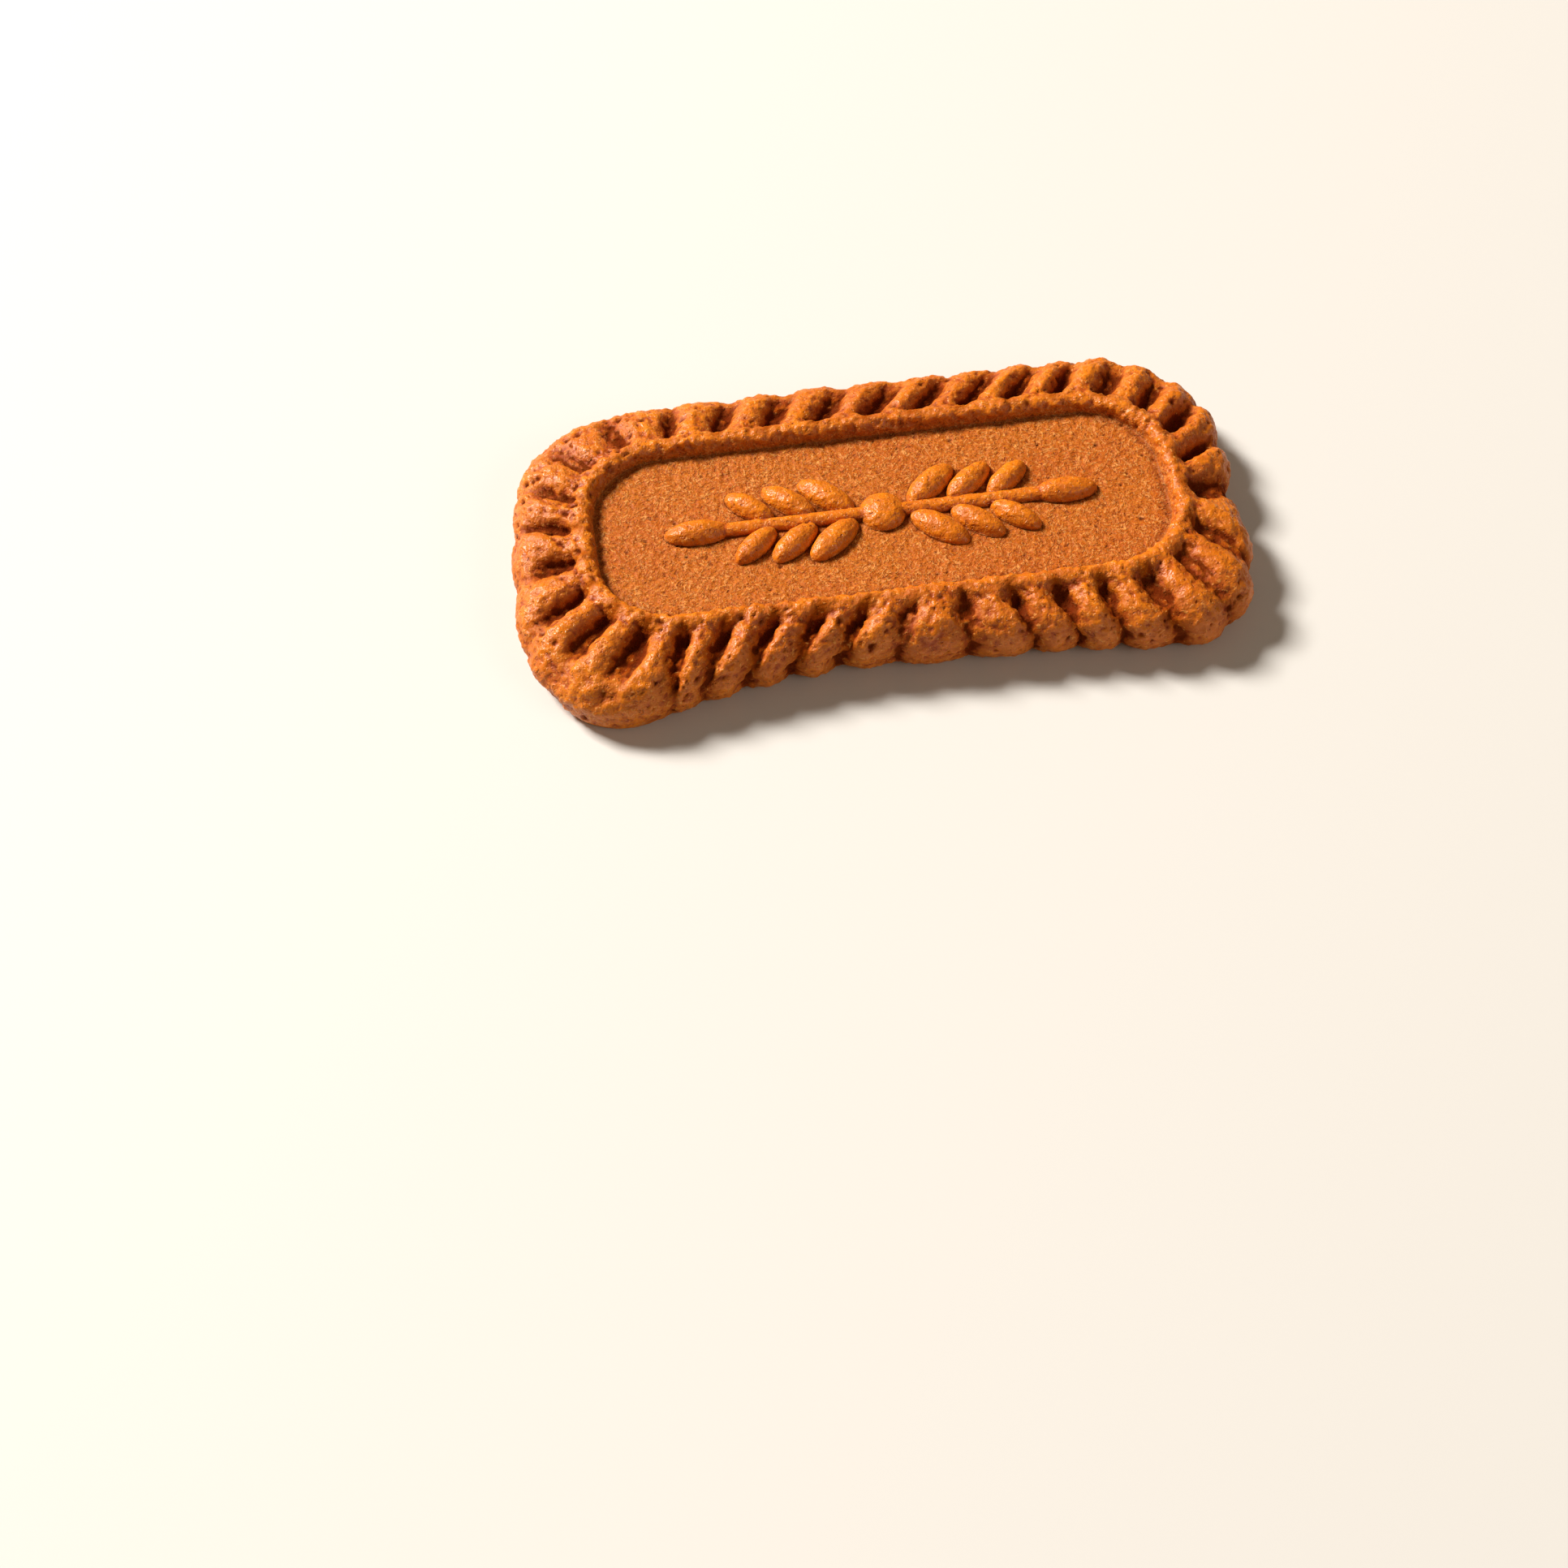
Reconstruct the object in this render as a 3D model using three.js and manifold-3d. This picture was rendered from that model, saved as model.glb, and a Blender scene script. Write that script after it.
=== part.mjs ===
// A speculoos biscuit: one baked tablet with rounded corners. Its top has a sunken panel with a raised bead
// round it, and ribs that run from the bead over the rim and down the side. Two ears of wheat stand in relief
// on the panel. Millimetres, +Z up. The origin is on the flat underside, below the middle of the panel.

import * as THREE from "three";
import { ParametricGeometry } from "three/addons/geometries/ParametricGeometry.js";
import { mergeVertices } from "three/addons/utils/BufferGeometryUtils.js";
import Module from "manifold-3d";

// The biscuit's outline at its widest, before it baked unevenly.
const LENGTH = 62.6;
const WIDTH = 31.6;
const CORNER_RADIUS = 9.6;
const HEIGHT = 6.2; // underside to the top of the bead

// The bead round the panel, by the line along its top.
const BEAD_LENGTH = 50.7;
const BEAD_WIDTH = 19.05;
const BEAD_RADIUS = 7.4;
const PANEL_DEPTH = 1.4; // from the top of the bead
const PANEL_HEIGHT = HEIGHT - PANEL_DEPTH;

// Uneven baking has moved the outline out (+) or in (-) near these places.
const OUTLINE_SWELLS = [
  { x: -5, y: -15.8, reach: 13, by: -2.3 }, // the near side's waist
  { x: 13, y: -15.8, reach: 10, by: -1.2 }, // right of the waist
  { x: -26, y: -15, reach: 6, by: 0.8 }, // near left corner
  { x: 26.5, y: -15, reach: 5.5, by: 0.35 }, // near right corner
  { x: -26, y: 13, reach: 9, by: -0.9 }, // far left corner
  { x: 28, y: 12.5, reach: 6, by: -0.7 }, // far right corner
  { x: -31.3, y: -3, reach: 7, by: 0.5 }, // left end
  { x: 31.3, y: -5, reach: 6, by: -0.6 }, // right end
];

// The dough has spread at the near left corner, which leaves the side upright and closes the grooves low
// down.
const SPREAD = { x: -25, y: -16, reach: 8, share: 0.65 };

// The grooves are partly filled near these points of the bead.
const FILLED_GROOVES = [
  { x: -23, y: 7, reach: 6, share: 0.5 }, // far left corner
  { x: 2.4, y: -9.5, reach: 2.2, share: 0.6 }, // the near side's middle
  { x: 23.5, y: -7.5, reach: 3.5, share: 0.45 }, // near right corner
];

// Along the far side and the left end the grooves are filled by this share at the rim. At the right end they
// are deeper.
const RIM_FILL = 0.55;
const DEEPER_GROOVES = { x: 27, y: 3, reach: 7, by: 0.8 };

// The ribs, counted anticlockwise. Each run starts with a rib on the bead nearest to `from`, and ends where
// the next run starts. Half a rib's width is in pitches, and its lean from square to the bead in degrees, +
// for anticlockwise.
const RIB_RUNS = [
  { from: { x: 21.7, y: -8.5 }, halfWidth: 0.33, leans: [-3, -15, -21] }, // near right corner
  { from: { x: 25.35, y: 0 }, halfWidth: 0.33, leans: [26, 31, 16] }, // right end and far right corner
  { from: { x: 22.5, y: 8 }, halfWidth: 0.34, leans: [5, -28, -38, -38, -40, -40] }, // far side
  { from: { x: -2.05, y: 9.5 }, halfWidth: 0.36, leans: [-34, -30, -24] },
  { from: { x: -15.2, y: 9.5 }, halfWidth: 0.38, leans: [-12, -4] },
  { from: { x: -22.25, y: 8.15 }, halfWidth: 0.38, leans: [-4, -3] }, // far left corner
  { from: { x: -25.3, y: 2.75 }, halfWidth: 0.36, leans: [-23, -12, 19] }, // left end
  { from: { x: -24.3, y: -5.85 }, halfWidth: 0.34, leans: [6, -9, -13] }, // near left corner
  { from: { x: -16.3, y: -9.5 }, halfWidth: 0.34, leans: [-24, -29, -34, -35, -32, -15] }, // near side
  { from: { x: 6.75, y: -9.5 }, halfWidth: 0.38, leans: [23, 22, 19, 16] },
];
const RIB_COUNT = RIB_RUNS.reduce((sum, run) => sum + run.leans.length, 0);
const RIB_SWELL = 0.3; // how much wider a rib is on the side than near the bead
const RIB_ROUNDNESS = { bead: 0.6, side: 0.85 }; // 0.5 is a half ellipse, and more gives softer feet

// Lines of points across one rib, in half widths from its top. One more line runs along the middle of each
// groove.
const RIB_SAMPLES = [-1, -0.75, -0.4, 0, 0.4, 0.75, 1];

// Rings of the surface from the edge of the underside up the side and over the top to the panel. A point lies
// on its rib's line, at a share of the way from the top of the bead to the outline, and `out` beyond that.
const SECTION = [
  { rib: { share: 1, out: -1.9, z: 0 }, groove: { share: 1, out: -2.1, z: 0 } },
  { rib: { share: 1, out: -1.1, z: 0.35 }, groove: { share: 1, out: -1.6, z: 0.35 } },
  { rib: { share: 1, out: -0.45, z: 1.0 }, groove: { share: 1, out: -1.3, z: 1.0 } },
  { rib: { share: 1, out: -0.08, z: 1.9 }, groove: { share: 1, out: -1.15, z: 1.9 } },
  { rib: { share: 1, out: 0, z: 2.9 }, groove: { share: 1, out: -1.15, z: 2.7 } },
  { rib: { share: 0.93, out: 0, z: 4.0 }, groove: { share: 0.8, out: 0, z: 3.7 } },
  { rib: { share: 0.82, out: 0, z: 4.85 }, groove: { share: 0.7, out: 0, z: 4.25 } },
  { rib: { share: 0.64, out: 0, z: 5.5 }, groove: { share: 0.56, out: 0, z: 4.45 } },
  { rib: { share: 0.42, out: 0, z: 5.8 }, groove: { share: 0.42, out: 0, z: 4.4 } },
  { rib: { share: 0, out: 1.3, z: 5.9 }, groove: { share: 0, out: 1.3, z: 4.45 } },
  { rib: { share: 0, out: 0.9, z: 5.92 }, groove: { share: 0, out: 0.9, z: 5.1 } },
  { rib: { share: 0, out: 0.5, z: 6.05 }, groove: { share: 0, out: 0.5, z: 5.85 } },
  { rib: { share: 0, out: 0, z: HEIGHT }, groove: { share: 0, out: 0, z: 6.15 } },
  { rib: { share: 0, out: -0.45, z: 6.1 }, groove: { share: 0, out: -0.45, z: 6.05 } },
  { rib: { share: 0, out: -0.8, z: 5.7 }, groove: { share: 0, out: -0.8, z: 5.7 } },
  { rib: { share: 0, out: -1.0, z: PANEL_HEIGHT }, groove: { share: 0, out: -1.0, z: PANEL_HEIGHT } },
];
const RIM_SHARE = 0.8; // rings further out than this lie on the rim or the side

// The ears of wheat point left and right from a round boss in the middle of the panel.
const RELIEF = 1.2; // height above the panel
const GRAIN = { length: 5.6, width: 2.5, pairs: 3, first: 4.5, pitch: 3.3, turn: 40, aside: 2.35, smaller: 0.07 };
const STEM = { radius: 0.7, length: 27 }; // without its round ends
const BOSS_RADIUS = 2.0;

const SURFACE_COLOUR = new THREE.Color().setRGB(0.76, 0.42, 0.17, THREE.SRGBColorSpace);

// How strongly a point feels a local change: 1 at its middle, fading over its reach.
function nearness(place, x, y) {
  const away = Math.hypot(x - place.x, y - place.y) / place.reach;
  return Math.exp(-away * away);
}

// The line along the top of the bead: straights and arcs, walked anticlockwise from the middle of the right
// side.
const ARC = (Math.PI / 2) * BEAD_RADIUS;
const STRAIGHT_X = BEAD_LENGTH - 2 * BEAD_RADIUS;
const STRAIGHT_Y = BEAD_WIDTH - 2 * BEAD_RADIUS;
const HALF_ROUND = [ARC, STRAIGHT_X, ARC];
const STRETCHES = [STRAIGHT_Y / 2, ...HALF_ROUND, STRAIGHT_Y, ...HALF_ROUND, STRAIGHT_Y / 2];
const BEAD_AROUND = STRETCHES.reduce((sum, stretch) => sum + stretch, 0);

function beadPoint(distance) {
  let left = THREE.MathUtils.euclideanModulo(distance, BEAD_AROUND);
  let outward = 0;
  let x = BEAD_LENGTH / 2;
  let y = 0;
  for (let i = 0; i < STRETCHES.length && left > 0; i += 1) {
    const step = Math.min(left, STRETCHES[i]);
    const curved = i % 2 === 1;
    const turned = curved ? outward + step / BEAD_RADIUS : outward;
    x += curved ? BEAD_RADIUS * (Math.cos(turned) - Math.cos(outward)) : -Math.sin(outward) * step;
    y += curved ? BEAD_RADIUS * (Math.sin(turned) - Math.sin(outward)) : Math.cos(outward) * step;
    outward = turned;
    left -= STRETCHES[i];
  }
  return { x, y, outward };
}

// The distance along the bead of its point nearest to another point.
function distanceAlongBead(target) {
  const steps = 2000;
  let best = { distance: 0, gap: Infinity };
  for (let i = 0; i < steps; i += 1) {
    const distance = (i / steps) * BEAD_AROUND;
    const { x, y } = beadPoint(distance);
    const gap = Math.hypot(x - target.x, y - target.y);
    if (gap < best.gap) best = { distance, gap };
  }
  return best.distance;
}

// One entry per rib: its distance along the bead, always rising, its half width and its lean in radians.
function layOutRibs() {
  const starts = RIB_RUNS.map((run) => distanceAlongBead(run.from));
  let distance = starts[0];
  return RIB_RUNS.flatMap((run, i) => {
    const next = starts[(i + 1) % starts.length];
    const span = THREE.MathUtils.euclideanModulo(next - starts[i], BEAD_AROUND);
    return run.leans.map((lean) => {
      const rib = { distance, halfWidth: run.halfWidth, lean: THREE.MathUtils.degToRad(lean) };
      distance += span / run.leans.length;
      return rib;
    });
  });
}

// Signed distance from a point to the outline, negative inside.
function outsideBy(x, y) {
  const overX = Math.abs(x) - (LENGTH / 2 - CORNER_RADIUS);
  const overY = Math.abs(y) - (WIDTH / 2 - CORNER_RADIUS);
  const even = Math.hypot(Math.max(overX, 0), Math.max(overY, 0)) + Math.min(Math.max(overX, overY), 0);
  const swollen = OUTLINE_SWELLS.reduce((sum, swell) => sum + swell.by * nearness(swell, x, y), 0);
  return even - CORNER_RADIUS - swollen;
}

// The outline's outward direction at a point on it.
function outlineNormal({ x, y }) {
  const step = 0.05;
  const slopeX = outsideBy(x + step, y) - outsideBy(x - step, y);
  const slopeY = outsideBy(x, y + step) - outsideBy(x, y - step);
  return new THREE.Vector2(slopeX, slopeY).normalize();
}

// 1 on the top of a rib and 0 on the floor of a groove, where a line crosses a ring.
function ribness({ start, away, halfWidth }, ring) {
  const outer = THREE.MathUtils.smoothstep(ring.rib.share, 0.4, 1);
  const fromTop = away / (halfWidth * (1 + RIB_SWELL * outer));
  const roundness = THREE.MathUtils.lerp(RIB_ROUNDNESS.bead, RIB_ROUNDNESS.side, outer);
  const round = Math.max(0, 1 - fromTop * fromTop) ** roundness;
  const filled = FILLED_GROOVES.reduce((sum, fill) => sum + fill.share * nearness(fill, start.x, start.y), 0);
  return THREE.MathUtils.lerp(round, 1, filled);
}

// The line that a rib follows outwards from the bead, or a line between two ribs. `place` counts ribs, and
// `away` is in pitches from the nearer rib's top.
function lineFromBead(ribs, place) {
  const index = Math.floor(place);
  const share = place - index;
  const rib = ribs[index];
  const next = ribs[(index + 1) % RIB_COUNT];
  const nextDistance = index + 1 < RIB_COUNT ? next.distance : next.distance + BEAD_AROUND;
  const start = beadPoint(THREE.MathUtils.lerp(rib.distance, nextDistance, share));
  const lean = THREE.MathUtils.lerp(rib.lean, next.lean, share);
  const direction = new THREE.Vector2(Math.cos(start.outward + lean), Math.sin(start.outward + lean));
  let inside = 0;
  let outside = WIDTH / 2;
  while (outside - inside > 0.001) {
    const middle = (inside + outside) / 2;
    if (outsideBy(start.x + direction.x * middle, start.y + direction.y * middle) > 0) outside = middle;
    else inside = middle;
  }
  const edge = new THREE.Vector2(start.x, start.y).addScaledVector(direction, inside);
  const away = Math.min(share, 1 - share);
  const halfWidth = share < 0.5 ? rib.halfWidth : next.halfWidth;
  return { start, lean, direction, edge, reach: inside, outwards: outlineNormal(edge), away, halfWidth };
}

// How far the grooves are filled at the rim, by the place on the outline.
function rimFill(edge) {
  const far = THREE.MathUtils.smoothstep(edge.y, -2, 9);
  const left = THREE.MathUtils.smoothstep(-edge.x, 18, 26);
  return RIM_FILL * Math.max(far, left);
}

function pointOnRing(line, ring) {
  const { start, direction, edge, reach } = line;
  const onSide = ring.rib.share === 1;
  const onFloor = ring.groove.share < 1 && ring.groove.z < PANEL_HEIGHT - 0.3;
  const spread = onSide ? SPREAD.share * nearness(SPREAD, edge.x, edge.y) : 0;
  const filled = ring.rib.share > RIM_SHARE ? rimFill(edge) : 0;
  const raised = THREE.MathUtils.lerp(THREE.MathUtils.lerp(ribness(line, ring), 1, filled), 1, spread);
  const deeper = onFloor ? DEEPER_GROOVES.by * nearness(DEEPER_GROOVES, edge.x, edge.y) * (1 - raised) : 0;
  const share = THREE.MathUtils.lerp(ring.groove.share, ring.rib.share, raised);
  const out = THREE.MathUtils.lerp(ring.groove.out, ring.rib.out, raised) * (1 - spread);
  const z = THREE.MathUtils.lerp(ring.groove.z, ring.rib.z, raised) - deeper;
  const point = new THREE.Vector2(start.x, start.y).addScaledVector(direction, share * reach);
  const square = new THREE.Vector2(Math.cos(start.outward), Math.sin(start.outward));
  if (onSide) point.addScaledVector(line.outwards, out);
  else if (out < 0) point.addScaledVector(square, out);
  else point.addScaledVector(direction, out / Math.cos(line.lean));
  return new THREE.Vector3(point.x, point.y, z);
}

// The biscuit's closed surface: the middle of the underside, the rings, and the middle of the panel.
function tabletGeometry() {
  const ribs = layOutRibs();
  const lines = ribs.flatMap((rib, i) => {
    const offsets = [...RIB_SAMPLES.map((sample) => sample * rib.halfWidth), 0.5];
    const places = offsets.map((offset) => THREE.MathUtils.euclideanModulo(i + offset, RIB_COUNT));
    return places.map((place) => lineFromBead(ribs, place));
  });
  const stacks = SECTION.length + 1;
  const surface = (u, v, target) => {
    const ring = Math.round(v * stacks);
    const line = lines[Math.round(u * lines.length) % lines.length];
    if (ring === 0) target.set(0, 0, 0);
    else if (ring === stacks) target.set(0, 0, PANEL_HEIGHT);
    else target.copy(pointOnRing(line, SECTION[ring - 1]));
  };
  return new ParametricGeometry(surface, lines.length, stacks);
}

// A dome on the panel, sized over all and turned about +Z by degrees.
function dome({ x, y, length, width, turn }) {
  const geometry = new THREE.SphereGeometry(1, 14, 8);
  geometry.rotateX(Math.PI / 2);
  geometry.scale(length / 2, width / 2, RELIEF);
  geometry.rotateZ(THREE.MathUtils.degToRad(turn));
  return geometry.translate(x, y, PANEL_HEIGHT);
}

// One ear, towards +X (side 1) or -X (side -1): pairs of grains along the stem, and one at its tip.
function ear(side) {
  const grains = [];
  for (let i = 0; i < GRAIN.pairs; i += 1) {
    const size = 1 - GRAIN.smaller * i;
    const x = side * (GRAIN.first + GRAIN.pitch * i);
    const length = GRAIN.length * size;
    const width = GRAIN.width * size;
    const y = GRAIN.aside * size;
    grains.push(dome({ x, y, length, width, turn: side * GRAIN.turn }));
    grains.push(dome({ x, y: -y, length, width, turn: -side * GRAIN.turn }));
  }
  const tip = side * (GRAIN.first + GRAIN.pitch * GRAIN.pairs + GRAIN.length / 4);
  grains.push(dome({ x: tip, y: 0, length: GRAIN.length, width: GRAIN.width, turn: 0 }));
  return grains;
}

function stem() {
  const geometry = new THREE.CapsuleGeometry(STEM.radius, STEM.length, 4, 10);
  return geometry.rotateZ(Math.PI / 2).translate(0, 0, PANEL_HEIGHT);
}

const wasm = await Module();
wasm.setup();

// A closed geometry as a solid that can be joined: its vertices merged, and triangles of no area left out.
function toSolid(geometry) {
  geometry.deleteAttribute("normal");
  geometry.deleteAttribute("uv");
  const merged = mergeVertices(geometry);
  const corners = merged.index.array;
  const kept = [];
  for (let i = 0; i < corners.length; i += 3) {
    const [a, b, c] = [corners[i], corners[i + 1], corners[i + 2]];
    if (a !== b && b !== c && c !== a) kept.push(a, b, c);
  }
  const vertProperties = new Float32Array(merged.attributes.position.array);
  return new wasm.Manifold(new wasm.Mesh({ numProp: 3, vertProperties, triVerts: new Uint32Array(kept) }));
}

function toGeometry(solid) {
  const mesh = solid.getMesh();
  const geometry = new THREE.BufferGeometry();
  geometry.setAttribute("position", new THREE.BufferAttribute(new Float32Array(mesh.vertProperties), 3));
  geometry.setIndex(new THREE.BufferAttribute(new Uint32Array(mesh.triVerts), 1));
  geometry.computeVertexNormals();
  return geometry;
}

const boss = dome({ x: 0, y: 0, length: 2 * BOSS_RADIUS, width: 2 * BOSS_RADIUS, turn: 0 });
const relief = [stem(), boss, ...ear(-1), ...ear(1)];
const solid = relief.reduce((joined, piece) => joined.add(toSolid(piece)), toSolid(tabletGeometry()));

const biscuit = new THREE.Mesh(
  toGeometry(solid),
  new THREE.MeshStandardMaterial({ color: SURFACE_COLOUR, roughness: 0.75, metalness: 0 }),
);
biscuit.name = "biscuit";

const group = new THREE.Group();
group.add(biscuit);

export default group;
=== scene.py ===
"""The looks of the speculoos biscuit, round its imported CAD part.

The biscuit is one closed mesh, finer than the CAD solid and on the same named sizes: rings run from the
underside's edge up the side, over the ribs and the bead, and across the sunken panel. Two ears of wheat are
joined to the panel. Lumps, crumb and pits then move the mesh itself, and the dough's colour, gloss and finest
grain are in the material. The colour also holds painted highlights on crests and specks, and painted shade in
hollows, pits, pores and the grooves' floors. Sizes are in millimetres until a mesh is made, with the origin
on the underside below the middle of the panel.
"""

import math
from types import SimpleNamespace

import bmesh
import bpy
import numpy as np
from mathutils import Matrix, Vector, kdtree, noise


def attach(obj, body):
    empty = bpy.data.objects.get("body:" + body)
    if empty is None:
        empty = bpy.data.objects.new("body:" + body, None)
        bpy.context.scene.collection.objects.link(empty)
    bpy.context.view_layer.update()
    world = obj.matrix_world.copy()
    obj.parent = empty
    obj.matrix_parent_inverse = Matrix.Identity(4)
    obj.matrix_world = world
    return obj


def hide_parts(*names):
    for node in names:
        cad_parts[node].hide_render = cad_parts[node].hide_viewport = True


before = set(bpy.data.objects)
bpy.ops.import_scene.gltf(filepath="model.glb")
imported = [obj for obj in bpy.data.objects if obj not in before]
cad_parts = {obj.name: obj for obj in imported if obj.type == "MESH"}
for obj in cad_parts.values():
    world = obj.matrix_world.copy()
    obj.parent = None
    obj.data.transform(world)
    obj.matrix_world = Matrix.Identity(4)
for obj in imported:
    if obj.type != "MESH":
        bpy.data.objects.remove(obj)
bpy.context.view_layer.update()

MM = 0.001
rng = np.random.default_rng(62)

# The outline at its widest, and the line along the top of the bead.
LENGTH = 62.6
WIDTH = 31.6
CORNER_RADIUS = 9.6
HEIGHT = 6.2
BEAD_LENGTH = 50.7
BEAD_WIDTH = 19.05
BEAD_RADIUS = 7.4
PANEL_DEPTH = 1.4
PANEL_HEIGHT = HEIGHT - PANEL_DEPTH
PANEL_INSET = 1.0  # from the top of the bead to the panel

# Places where the outline has moved out (+) or in (-): x, y, reach, by.
OUTLINE_SWELLS = (
    (-5, -15.8, 13, -2.3),  # the near side's waist
    (13, -15.8, 10, -1.2),  # right of the waist
    (-26, -15, 6, 0.8),  # near left corner
    (26.5, -15, 5.5, 0.35),  # near right corner
    (-26, 13, 9, -0.9),  # far left corner
    (28, 12.5, 6, -0.7),  # far right corner
    (-31.3, -3, 7, 0.5),  # left end
    (31.3, -5, 6, -0.6),  # right end
)
# Where the dough has spread at the near left corner, and where grooves are partly filled: x, y, reach, share.
SPREAD = (-25, -16, 8, 0.65)
FILLED_GROOVES = (
    (-23, 7, 6, 0.5),  # far left corner
    (2.4, -9.5, 2.2, 0.6),  # the near side's middle
    (23.5, -7.5, 3.5, 0.45),  # near right corner
)
# The grooves are deeper at the right end: x, y, reach, by.
DEEPER_GROOVES = (27, 3, 7, 0.8)
# The grooves are filled by this share at the rim, along the far side and the left end. Both start gradually.
RIM_FILL = 0.55
RIM_SHARE = 0.8  # rings further out than this lie on the rim or the side
FAR_SIDE = (-2, 9)  # y
LEFT_END = (18, 26)  # -x

# Runs of ribs, anticlockwise from the near right corner: the first rib's place on the bead, half the ribs'
# width in pitches, and each rib's lean from square to the bead in degrees, + for anticlockwise.
RIB_RUNS = (
    ((21.7, -8.5), 0.33, (-3, -15, -21)),  # near right corner
    ((25.35, 0), 0.33, (26, 31, 16)),  # right end and far right corner
    ((22.5, 8), 0.34, (5, -28, -38, -38, -40, -40)),  # far side
    ((-2.05, 9.5), 0.36, (-34, -30, -24)),
    ((-15.2, 9.5), 0.38, (-12, -4)),
    ((-22.25, 8.15), 0.38, (-4, -3)),  # far left corner
    ((-25.3, 2.75), 0.36, (-23, -12, 19)),  # left end
    ((-24.3, -5.85), 0.34, (6, -9, -13)),  # near left corner
    ((-16.3, -9.5), 0.34, (-24, -29, -34, -35, -32, -15)),  # near side
    ((6.75, -9.5), 0.38, (23, 22, 19, 16)),
)
RIB_COUNT = sum(len(leans) for _, _, leans in RIB_RUNS)
RIB_ROUNDNESS = (0.62, 0.85)  # at the bead and on the side: 0.5 is a half ellipse, and more gives softer feet
RIB_SWELL = 0.3  # how much wider a rib is on the side than near the bead
RIB_FLARE = 0.3  # how much wider a rib is where it leaves the bead
RIB_FLARE_REACH = 1.2
RIB_WIDTHS = (0.92, 1.08)  # each rib's width varies by a factor in this range
RIB_HEIGHTS = (0.9, 1.0)  # and its height above the grooves by one in this range
RIB_WOBBLE = 0.048  # how far a rib wanders from its line, in pitches
WOBBLE_ROUND = 11  # a larger value makes the wobble change faster round the biscuit
WOBBLE_PER_RING = 0.45  # and this one from ring to ring
WOBBLE_SEED = 3.1

# Rings from the underside's edge to the panel: share of the way out, mm beyond that, height.
RIB_SECTION = (
    (1, -1.9, 0), (1, -1.1, 0.35), (1, -0.45, 1.0), (1, -0.08, 1.9), (1, 0, 2.9), (0.93, 0, 4.0),
    (0.82, 0, 4.85), (0.64, 0, 5.5), (0.42, 0, 5.8), (0, 1.3, 5.9), (0, 0.9, 5.92), (0, 0.5, 6.05),
    (0, 0, HEIGHT), (0, -0.45, 6.1), (0, -0.76, 5.75), (0, -0.93, 5.3), (0, -PANEL_INSET, PANEL_HEIGHT),
)
GROOVE_SECTION = (
    (1, -2.1, 0), (1, -1.6, 0.35), (1, -1.3, 1.0), (1, -1.15, 1.9), (1, -1.15, 2.7), (0.8, 0, 3.7),
    (0.7, 0, 4.25), (0.56, 0, 4.45), (0.42, 0, 4.4), (0, 1.3, 4.45), (0, 0.9, 5.1), (0, 0.5, 5.85),
    (0, 0, 6.15), (0, -0.45, 6.05), (0, -0.76, 5.75), (0, -0.93, 5.3), (0, -PANEL_INSET, PANEL_HEIGHT),
)
FLOOR_BELOW_PANEL = 0.3  # a groove's floor lies at least this far below the panel
BEAD_RINGS = 4  # the last rings, inside the top of the bead

# The ears of wheat.
RELIEF = 1.2
GRAIN_LENGTH = 5.6
GRAIN_WIDTH = 2.5
GRAIN_PAIRS = 3
GRAIN_FIRST = 4.5
GRAIN_PITCH = 3.3
GRAIN_ASIDE = 2.35
GRAIN_TURN = 40
GRAIN_SMALLER = 0.07
STEM_RADIUS = 0.7
STEM_LENGTH = 28.4
BOSS_RADIUS = 2.0

# Mesh fineness.
STATIONS_PER_RIB = 24
SECTION_RINGS = 62
PANEL_RINGS = 40
PANEL_INWARD = 0.97  # how far the panel's rings close in on its middle line
STEM_CUTS = 90

# What moves the surface: the size of the bumps, how far they move it, and a seed.
BROAD_LUMPS = (3.4, 0.14, 5.0)
SMALL_LUMPS = (1.3, 0.09, 17.0)
COBBLES = (0.8, 0.20, 51.0)
SMALL_COBBLES = (0.45, 0.10, 71.0)
CRUMBS = (0.5, 0.12, 31.0)
PANEL_WAVES = (7.0, 0.06, 41.0)
FOOT = (0.1, 1.0)  # heights between which the lumps and crumbs fade towards the underside

PIT_COUNT = 700
PIT_RADIUS = (0.14, 0.3)
LARGE_PIT_CHANCE = 0.12  # off the panel
LARGE_PIT_MORE = 0.25
PIT_DEPTH = 0.55  # in radii
PITTED_ABOVE = 1.2
PITTED_CORNER = (-25, 10, 8)  # the far left corner: x, y, reach
HOLLOW_ROUNDS = 14  # rounds of smoothing that tell hollows (painted shade) from crests (painted light)

# The dough's colours, as linear red, green, blue and alpha.
# The crust runs from dark to light with the crumb noise, which also raises its bumps: partly the dough's own
# mottle, partly painted light on bump tops and shade between.
CRUST_DARK = (0.33, 0.053, 0.001, 1)
CRUST_LIGHT = (0.62, 0.158, 0.003, 1)
CRUST_MOTTLE = (0.38, 0.060, 0.001, 1)
# Painted highlight: the colour that the crests are lightened towards.
CREST_HIGHLIGHT = (0.72, 0.215, 0.008, 1)
PANEL_DARK = (0.36, 0.076, 0.002, 1)
PANEL_LIGHT = (0.50, 0.134, 0.006, 1)
BROAD_PATCH = (0.38, 0.062, 0.003, 1)
FLECK = (0.80, 0.38, 0.11, 1)
FLECK_GAP = (0.16, 0.022, 0.0005, 1)
# Painted shade: the colour that the grooves' floors are darkened towards.
GROOVE_FLOOR_SHADE = (0.18, 0.026, 0.0004, 1)
# Painted shade in the small pores.
PORE_SHADE = (0.13, 0.014, 0.0005, 1)
# Light specks: partly bright grains in the dough, partly painted glints.
SPECK_AND_GLINT = (0.90, 0.42, 0.10, 1)
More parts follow.
